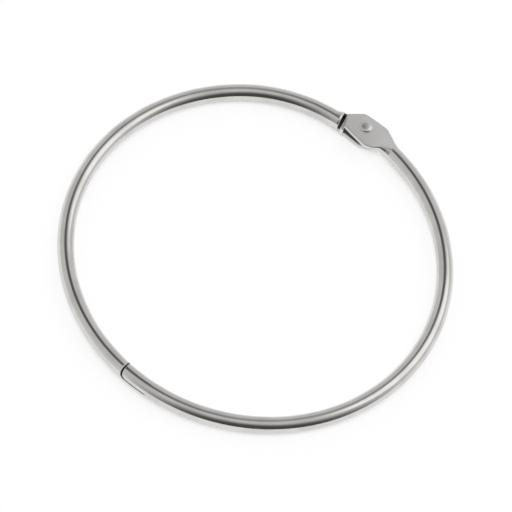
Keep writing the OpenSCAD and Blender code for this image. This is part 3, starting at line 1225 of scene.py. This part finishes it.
@dataclass
class SwingHalf(HalfRing):
    """The half that swings open, with the slot, the upright shoulder and the lower leaf.

    Attributes:
        leaf_r: Radius of the leaf's round end.
        touch_out: Angle at which the leaf's outer side meets the round end.
        touch_in: Angle at which its inner side does.
        least_turn: Angle off the round end's front at which its last section stops.
        leaf_steps: Sections of the straight leaf, of its round end and of its edge.
        slot_x: Distance from the rivet to the slot, square to the slanted direction.
        slot_w: Width of the slot.
        slot_web: Thickness of the web on the slot's outer side.
        slot_floor: Height of the slot's floor above the underside of the leaf.
        web_run: Length over which the web widens out of the wire.
        shoulder_t: Thickness of the shoulder.
        shoulder_out: Distance outwards from the rivet to the shoulder's outer side.
        shoulder_in: Distance inwards to its inner side.
        shoulder_edge: Rounding of its upright edges.
        pass_gap: Clearance of its top under the upper leaf.
        lip: Rounding of its front and back edges.
        lip_share: Place of the rounding's middle section, as a share of it.
        end_r: Rounding of the wire's end at the slot.
        end_under: Share of that rounding on the underside.
        end_top: Share of it on top.
        end_steps: Sections of it.
        drawn_to: Number of them that keep the drawn finish.
        lean_gap: Length of wire between the web and the sections that lean.
        lean_steps: Sections that lean from square across the wire to the slant.
        wire_steps: Sections from there to the wire's end.
        weld_x: Distance along from the ring's middle to the swept wire.
    """

    slant: float = math.radians(12)
    lap_neck: float = 2.4 * MM
    leaf_r: float = 3.2 * MM
    touch_out: float = math.radians(97)
    touch_in: float = math.radians(-101)
    least_turn: float = 0.02
    leaf_steps: tuple[int, int, int] = (10, 14, 5)
    slot_x: float = 4.91 * MM
    slot_w: float = 0.55 * MM
    slot_web: float = 0.8 * MM
    slot_floor: float = 1.1 * MM
    web_run: float = 1.8 * MM
    shoulder_t: float = 0.8 * MM
    shoulder_out: float = 1.88 * MM
    shoulder_in: float = 2.38 * MM
    shoulder_edge: float = 0.4 * MM
    pass_gap: float = 0.1 * MM
    lip: float = 0.1 * MM
    lip_share: float = 0.3
    end_r: float = 0.5 * MM
    end_under: float = 0.2
    end_top: float = 0.6
    end_steps: int = 7
    drawn_to: int = 2
    lean_gap: float = 0.4 * MM
    lean_steps: int = 4
    wire_steps: int = 12
    weld_x: float = 9.6 * MM

    def heights(self) -> tuple[float, float]:
        """Bottom and top of the lower leaf."""
        top = self.sizes.wire_r - self.hinge.leaf_t - self.hinge.leaf_gap
        return top - self.hinge.leaf_t, top

    def wire_crossing(self, x: float) -> Vector:
        """Finds where the tucked wire's centre line crosses a slanted line.

        Args:
            x: Distance of that line from the rivet, square to the line.

        Returns:
            The crossing, in plan.
        """
        tuck = self.sizes.tuck
        start, along = self.slanted(-x, 0), self.end_line
        offset = start - tuck.centre.xy
        b = offset.dot(along)
        c = offset.length_squared - tuck.radius ** 2
        return start + along * (-b + math.sqrt(b * b - c))

    def wire_row(self, x: float, shrink: float = 0.0, web: float = math.inf) -> Section:
        """Section of the tucked wire along the slanted direction, before the rivet.

        Args:
            x: Distance from the rivet, square to the slanted direction.
            shrink: How much smaller the section is, except on the outer side.
            web: Width that is kept on the outer side.

        Returns:
            The section, with its outer side drawn out to the web near the slot.
        """
        r = self.sizes.wire_r
        middle = self.wire_crossing(x)
        across = self.end_line
        lean = abs((middle - self.sizes.tuck.centre.xy).normalized().dot(across))
        outer, inner = middle + across * (r / lean), middle - across * ((r - shrink) / lean)
        near = 1 - clamp((x - self.slot_x - self.slot_w) / self.web_run)
        wide = self.slanted(-x, self.shoulder_out)
        outer = outer.lerp(wide, near * near * (3 - 2 * near))
        return Section(outer, inner, -r + shrink * self.end_under, r - shrink * self.end_top, r,
                       web=web, notch_floor=self.heights()[0] + self.slot_floor)

    def hinge_end(self, welded: float) -> Loft:
        """Lofts slot, shoulder and lower leaf from the swept wire to the leaf's round end.

        Args:
            welded: Angle at which the loft meets the swept wire.

        Returns:
            The loft, from the swept wire outwards.
        """
        loft = Loft(self.sizes.plane_z, self.points_round)
        slot_far = self.slot_x + self.slot_w
        loft.add(self.round_section(self.sizes.tuck, welded))
        far = slot_far + self.web_run + self.lean_gap
        for k in range(1, self.lean_steps + 1):
            loft.add(self.leaning_section(welded, far, k / self.lean_steps))
        for k in range(1, self.wire_steps + 1):
            loft.add(self.wire_row(far + (slot_far + self.end_r - far) * k / self.wire_steps))
        for k, (sine, versine) in enumerate(quarter_turn(self.end_steps), 1):
            worn = Surface.PRESSED if k > self.drawn_to else Surface.DRAWN
            loft.add(self.wire_row(slot_far + self.end_r * (1 - sine), self.end_r * versine),
                     worn, worn)
        # The slot's faces take the sawn steel with painted shade
        loft.add(self.wire_row(slot_far, self.end_r, self.slot_web), Surface.SAWN, Surface.SAWN)
        loft.add(self.wire_row(self.slot_x, self.end_r, self.slot_web),
                 Surface.SAWN, Surface.PRESSED, Surface.SAWN)
        self.add_shoulder(loft)
        self.add_leaf(loft)
        return loft

    def add_shoulder(self, loft: Loft) -> None:
        """Adds the upright shoulder, from its sawn face in the slot to its face at the leaf.

        Args:
            loft: The loft that takes the sections.
        """
        low = self.heights()[0]
        top = self.sizes.wire_r - self.hinge.leaf_t - self.pass_gap
        lip, eased = self.lip, self.lip * self.lip_share
        back_x = self.slot_x - self.shoulder_t
        for inset, x in ((lip, self.shoulder_t), (eased, self.shoulder_t - eased),
                         (0.0, self.shoulder_t - lip), (0.0, lip), (eased, eased), (lip, 0.0)):
            outer = self.slanted(-back_x - x, self.shoulder_out - inset)
            inner = self.slanted(-back_x - x, inset - self.shoulder_in)
            # The shoulder's face in the slot takes the sawn steel with painted shade
            wall = Surface.SAWN if x == self.shoulder_t else Surface.PRESSED
            loft.add(Section(outer, inner, low + inset, top - inset, self.shoulder_edge),
                     wall, wall)

    def leaning_section(self, welded: float, x: float, part: float) -> Section:
        """Round section part of the way from the radial one at welded to the slanted one at x."""
        first, last = self.round_section(self.sizes.tuck, welded), self.wire_row(x)
        return Section(first.outer.lerp(last.outer, part), first.inner.lerp(last.inner, part),
                       first.low, first.high, first.rounding)

    def add_leaf(self, loft: Loft) -> None:
        """Adds the lower leaf, from its root in the shoulder to its round end.

        Args:
            loft: The loft that takes the sections.
        """
        low, top = self.heights()
        edge = self.hinge.edge_r
        straight_steps, round_steps, edge_steps = self.leaf_steps
        root_x = self.shoulder_t - self.slot_x
        root_out = self.slanted(root_x, self.shoulder_out - edge)
        root_in = self.slanted(root_x, edge - self.shoulder_in)
        for k in range(straight_steps + 1):
            part = k / straight_steps
            outer = root_out.lerp(self.on_round_end(self.touch_out), part)
            inner = root_in.lerp(self.on_round_end(self.touch_in), part)
            loft.add(Section(outer, inner, low, top, edge), Surface.PRESSED)
        last = math.acos(1 - edge / self.leaf_r)
        for k in range(1, round_steps + 1):
            part = k / round_steps
            outer = self.on_round_end(self.touch_out + (last - self.touch_out) * part)
            inner = self.on_round_end(self.touch_in - (last + self.touch_in) * part)
            loft.add(Section(outer, inner, low, top, edge), Surface.PRESSED)
        for sine, versine in quarter_turn(edge_steps):
            inset = edge * versine
            angle = math.acos(min(1.0, 1 - edge * (1 - sine) / self.leaf_r))
            angle = max(angle, self.least_turn)
            outer, inner = self.on_round_end(angle), self.on_round_end(-angle)
            loft.add(Section(outer, inner, low + inset, top - inset, edge), Surface.PRESSED)

    def on_round_end(self, turn: float) -> Vector:
        """Plan point on the leaf's round end."""
        return self.rivet_point(self.leaf_r * math.cos(turn), self.leaf_r * math.sin(turn))

    def build(self) -> bpy.types.Object:
        """Builds the half as one closed mesh.

        Returns:
            The finished piece.
        """
        ring, tuck = self.sizes.ring, self.sizes.tuck
        lap_half = ring.angle_of(self.lap.length) / 2
        turn = 2 * math.pi
        step = turn + self.sizes.lap_middle - lap_half
        tip = turn + self.sizes.lap_middle + lap_half - ring.angle_of(self.lap.end_gap)
        lap_weld = step - ring.angle_of(self.lap_neck)
        hinge_weld = tuck.angle_of_x(-self.weld_x)
        mesh = bmesh.new()
        self.sweep(mesh, ring, self.sizes.tuck_start, lap_weld)
        self.sweep(mesh, tuck, hinge_weld, self.sizes.tuck_start)
        # The lap's end face takes the sawn steel with painted shade
        self.lap_end(LapSide.LOWER, lap_weld, step, tip).skin(mesh, Surface.SAWN)
        self.hinge_end(hinge_weld).skin(mesh, Surface.PRESSED)
        # Paints the shade between the leaves onto the lower leaf's top
        self.paint_shade_between_leaves(mesh, self.heights()[1])
        piece = new_piece("swing_half_wire", mesh, self.finishes)
        work(piece, self.teeth(self.lap.notch_extra, "lap_notches"), Working.CUT)
        z = self.sizes.plane_z
        return self.drilled(piece, self.hinge.swing_fit, z - 2 * self.sizes.wire_r, z)

    def dress(self, piece: bpy.types.Object) -> None:
        """Puts the piece on its body, in place of its CAD node.

        Args:
            piece: The finished piece.
        """
        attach(piece, "swing_half")
        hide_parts("swing_half_ring")


@dataclass
class HingeRivet:
    """The collared rivet, turned on its axis, with a domed head.

    Attributes:
        sizes: Main sizes of the ring.
        hinge: Sizes of the leaves, and of the rivet's shank.
        finish: The rivet's material.
        head_r: Radius of the head.
        head_h: Height of the head above the upper leaf.
        seat_in: How much smaller than the head its seat on the leaf is.
        rim_h: Height of the dome's rim above the leaf.
        flat_r: Radius of the flat on top of the dome.
        dome_steps: Steps from the rim to the flat.
        collar_r: Radius of the collar between the leaves.
        tail_r: Radius of the tail.
        tail_h: Height of the tail.
        ease: Bevel of the collar and the tail.
        segments: Number of points round the rivet.
        sharp: Angle from which an edge is shaded sharp.
    """

    sizes: RingSizes
    hinge: HingeSizes
    finish: bpy.types.Material
    head_r: float = 1.4 * MM
    head_h: float = 0.45 * MM
    seat_in: float = 0.05 * MM
    rim_h: float = 0.06 * MM
    flat_r: float = 0.2 * MM
    dome_steps: int = 14
    collar_r: float = 1.5 * MM
    tail_r: float = 1.5 * MM
    tail_h: float = 0.25 * MM
    ease: float = 0.08 * MM
    segments: int = 96
    sharp: float = math.radians(40)

    def profile(self) -> list[tuple[float, float]]:
        """Half outline of the rivet from its tail to its head.

        Returns:
            Radius and height above the wire's centre plane, in order.
        """
        h, ease = self.hinge, self.ease
        upper_top = self.sizes.wire_r
        upper_bottom = upper_top - h.leaf_t
        lower_top = upper_bottom - h.leaf_gap
        tail_top = lower_top - h.leaf_t - h.leaf_play
        tail_bottom = tail_top - self.tail_h
        collar_bottom = lower_top + h.leaf_play
        points = [
            (0.0, tail_bottom), (self.tail_r - ease, tail_bottom),
            (self.tail_r, tail_bottom + ease), (self.tail_r, tail_top - ease / 2),
            (self.tail_r - ease / 2, tail_top), (h.shank_r, tail_top), (h.shank_r, collar_bottom),
            (self.collar_r - ease, collar_bottom), (self.collar_r, collar_bottom + ease),
            (self.collar_r, upper_bottom - ease), (self.collar_r - ease, upper_bottom),
            (h.shank_r, upper_bottom), (h.shank_r, upper_top),
            (self.head_r - self.seat_in, upper_top),
        ]
        for k in range(self.dome_steps + 1):
            turn = k / self.dome_steps * math.pi / 2
            points.append((self.flat_r + (self.head_r - self.flat_r) * math.cos(turn),
                           upper_top + self.rim_h + (self.head_h - self.rim_h) * math.sin(turn)))
        points.append((0.0, upper_top + self.head_h))
        return points

    def build(self) -> bpy.types.Object:
        """Turns the profile into a closed mesh.

        Returns:
            The finished piece.
        """
        mesh = bmesh.new()
        rings = []
        for radius, height in self.profile():
            count = self.segments if radius > 0 else 1
            ring = []
            for k in range(count):
                turn = 2 * math.pi * k / count
                ring.append(mesh.verts.new((self.sizes.pivot.x + radius * math.cos(turn),
                                            self.sizes.pivot.y + radius * math.sin(turn),
                                            self.sizes.plane_z + height)))
            rings.append(ring)
        for first, second in zip(rings, rings[1:]):
            for k in range(self.segments):
                j = (k + 1) % self.segments
                corners = [first[k % len(first)], first[j % len(first)],
                           second[j % len(second)], second[k % len(second)]]
                mesh.faces.new(dict.fromkeys(corners))
        piece = new_piece("collared_rivet", mesh, (self.finish,))
        shade(piece, self.sharp)
        return piece

    def dress(self, piece: bpy.types.Object) -> None:
        """Puts the piece on its body, in place of its CAD node.

        Args:
            piece: The finished piece.
        """
        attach(piece, "fixed_half")
        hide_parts("hinge_rivet")


# ---------------------------------------------------------------------------- the studio


def seen_direction(turn: float, rise: float, azimuth: float) -> Vector:
    """Finds a direction as it is seen by a camera.

    Args:
        turn: Degrees to the right of the far side.
        rise: Degrees above the table.
        azimuth: The camera's azimuth, in radians.

    Returns:
        The direction, of length 1.
    """
    turn, rise = azimuth - math.radians(turn), math.radians(rise)
    return Vector((-math.sin(turn) * math.cos(rise), math.cos(turn) * math.cos(rise),
                   math.sin(rise)))


@dataclass(frozen=True)
class Patch:
    """Round, soft-edged patch of another level on the light tent.

    Attributes:
        turn: Degrees to the right of the far side, as seen from the camera.
        rise: Degrees above the table.
        inner: Degrees from the middle within which the patch has its full level.
        outer: Degrees from the middle at which it has faded out.
        level: Its brightness.
    """

    turn: float
    rise: float
    inner: float
    outer: float
    level: float


TENT_LEVEL = 0.98
TENT_PATCHES = (
    # Two wide, pale ones: low at the far right, and high at the far left
    Patch(turn=50, rise=17, inner=21, outer=50, level=0.94),
    Patch(turn=-42, rise=57, inner=28, outer=80, level=0.84),
    # Two narrow, darker ones, high up
    Patch(turn=-12, rise=50, inner=2, outer=15, level=0.52),
    Patch(turn=-34, rise=65, inner=8, outer=22, level=0.14),
    # The tent's open dark side, behind the camera
    Patch(turn=157, rise=12, inner=20, outer=70, level=0.1),
)


@dataclass
class Studio:
    """White table, pale light tent with an open dark side, soft lamp and camera.

    Attributes:
        sizes: Main sizes of the ring.
        azimuth: Direction of the camera round the ring.
        elevation: Height of the camera above the table, as an angle.
        roll: Turn of the camera about its own axis.
        distance: Distance of the camera from the ring's middle.
        lens: Length of its lens, in millimetres.
        table_half: Half the width of the table.
        table_tone: Brightness of the table's surface.
        white_share: Share of the table that is seen as plain white.
        white_level: Brightness of that white.
        shadow_reach: Distance over which the ring shades the table.
        shadow_span: Openness of the table that gives the full shadow, and none.
        lamp_turn: Degrees of the lamp to the right of the far side.
        lamp_rise: Degrees of the lamp above the table.
        lamp_distance: Distance of the lamp from the ring's middle.
        lamp_size: Width of the lamp.
        lamp_power: Power of the lamp, in watts.
    """

    sizes: RingSizes
    azimuth: float = math.radians(22.2)
    elevation: float = math.radians(59.1)
    roll: float = math.radians(15.67)
    distance: float = 1.24
    lens: float = 420.0
    table_half: float = 3.0
    table_tone: float = 0.85
    white_share: float = 0.65
    white_level: float = 1.28
    shadow_reach: float = 4.0 * MM
    shadow_span: tuple[float, float] = (0.12, 0.42)
    lamp_turn: float = 60.0
    lamp_rise: float = 50.0
    lamp_distance: float = 1.1
    lamp_size: float = 0.9
    lamp_power: float = 1.0

    def floor(self) -> None:
        """Lays the pale floor under the ring."""
        mesh = bmesh.new()
        bmesh.ops.create_grid(mesh, x_segments=1, y_segments=1, size=self.table_half)
        floor = new_piece("table_top", mesh, (self.floor_material(),))
        floor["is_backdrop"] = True

    def floor_material(self) -> bpy.types.Material:
        """Makes the white of the table, which keeps a faint shadow of the ring.

        Returns:
            The material.
        """
        material = bpy.data.materials.new("white_table")
        nodes = Nodes(material)
        diffuse = nodes.add("BsdfDiffuse", {"Color": (*[self.table_tone] * 3, 1.0)})
        glow = nodes.add("Emission", {"Color": (1.0, 1.0, 1.0, 1.0), "Strength": self.white_level})
        path = nodes.add("LightPath")
        seen = nodes.math("MAXIMUM", path.outputs["Is Camera Ray"], path.outputs["Is Glossy Ray"])
        openness = nodes.add("AmbientOcclusion", {"Distance": self.shadow_reach}, samples=6)
        lit = nodes.ramp(openness.outputs["AO"], self.shadow_span)
        share = nodes.math("MULTIPLY", nodes.math("MULTIPLY", seen, lit), self.white_share)
        mix = nodes.add("MixShader", {0: share, 1: diffuse.outputs[0], 2: glow.outputs[0]})
        nodes.add("OutputMaterial", {"Surface": mix.outputs[0]})
        return material

    def tent(self) -> None:
        """Makes the light tent: one pale level, with soft patches of other levels."""
        world = bpy.data.worlds.new("light_tent")
        bpy.context.scene.world = world
        nodes = Nodes(world)
        looked = nodes.add("TexCoord").outputs["Generated"]
        level: object = TENT_LEVEL
        for patch in TENT_PATCHES:
            middle = seen_direction(patch.turn, patch.rise, self.azimuth)
            toward = nodes.add("VectorMath", {0: looked, 1: middle}, operation="DOT_PRODUCT")
            near, far = (math.cos(math.radians(edge)) for edge in (patch.inner, patch.outer))
            share = nodes.ramp(toward.outputs["Value"], (far, near))
            kept = nodes.math("SUBTRACT", 1.0, share)
            rest = nodes.math("MULTIPLY", kept, level)
            level = nodes.math("MULTIPLY_ADD", share, patch.level, rest)
        background = nodes.add("Background", {"Strength": level})
        nodes.add("OutputWorld", {"Surface": background.outputs[0]})

    def lamp(self) -> None:
        """Hangs one large soft lamp at the far right of the table."""
        light = bpy.data.lights.new("soft_lamp", "AREA")
        light.shape = "DISK"
        light.size = self.lamp_size
        light.energy = self.lamp_power
        lamp = bpy.data.objects.new("soft_lamp", light)
        toward = seen_direction(self.lamp_turn, self.lamp_rise, self.azimuth)
        lamp.location = toward * self.lamp_distance
        lamp.rotation_euler = lamp.location.to_track_quat("Z", "Y").to_euler()
        bpy.context.scene.collection.objects.link(lamp)

    def camera(self) -> None:
        """Sets the camera at the viewing angle, with the ring whole in view."""
        data = bpy.data.cameras.new("camera")
        data.lens = self.lens
        camera = bpy.data.objects.new("camera", data)
        a, e = self.azimuth, self.elevation
        back = Vector((math.sin(a) * math.cos(e), -math.cos(a) * math.cos(e), math.sin(e)))
        level = Vector((math.cos(a), math.sin(a), 0))
        upright = back.cross(level)
        right = level * math.cos(self.roll) + upright * math.sin(self.roll)
        up = back.cross(right)
        place = Matrix((right, up, back)).transposed().to_4x4()
        place.translation = self.sizes.ring.centre + back * self.distance
        camera.matrix_world = place
        bpy.context.scene.collection.objects.link(camera)
        bpy.context.scene.camera = camera

    def build(self) -> None:
        """Sets the stage, the light and the camera."""
        self.floor()
        self.tent()
        self.lamp()
        self.camera()
        bpy.context.scene.view_settings.view_transform = "Standard"


def open_edges(piece: bpy.types.Object) -> int:
    """Counts the edges of a piece that don't join two faces.

    Args:
        piece: The piece.

    Returns:
        Their number, which is 0 for a closed mesh.
    """
    mesh = bmesh.new()
    mesh.from_mesh(piece.data)
    count = sum(1 for edge in mesh.edges if len(edge.link_faces) != 2)
    mesh.free()
    return count


def main() -> None:
    """Builds the ring and its studio, and logs each piece's faces and open edges, and the box of
    the visual model.
    """
    logging.basicConfig(level=logging.INFO, format="%(name)s: %(message)s")
    sizes, hinge, lap = RingSizes.from_frame(), HingeSizes(), LapSizes()
    # The third finish is sawn steel with painted shade, the fourth nickel with painted shade
    # between the leaves
    finishes = tuple(finish.build(sizes.ring.centre, sizes.ring.radius, sizes.wire_r)
                     for finish in (DRAWN_WIRE, PRESSED_LEAF, SAWN_PAINTED_SHADE_FACE, NICKEL_PAINTED_SHADE))
    shared = (sizes, hinge, lap, finishes, WireRunTree(), ToothRowTree())
    rivet_finish = TURNED_RIVET.build(sizes.pivot, RIVET_GRAIN_R, RIVET_GRAIN_SPREAD)
    for maker in (FixedHalf(*shared), SwingHalf(*shared), HingeRivet(sizes, hinge, rivet_finish)):
        piece = maker.build()
        maker.dress(piece)
        log.info("%s: %d faces, %d open edges", piece.name, len(piece.data.polygons),
                 open_edges(piece))
    Studio(sizes).build()
    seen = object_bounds()
    low, high = ([round(v / MM, 2) for v in corner] for corner in seen)
    log.info("visual box %s to %s mm", low, high)


if __name__ == "__main__":
    main()
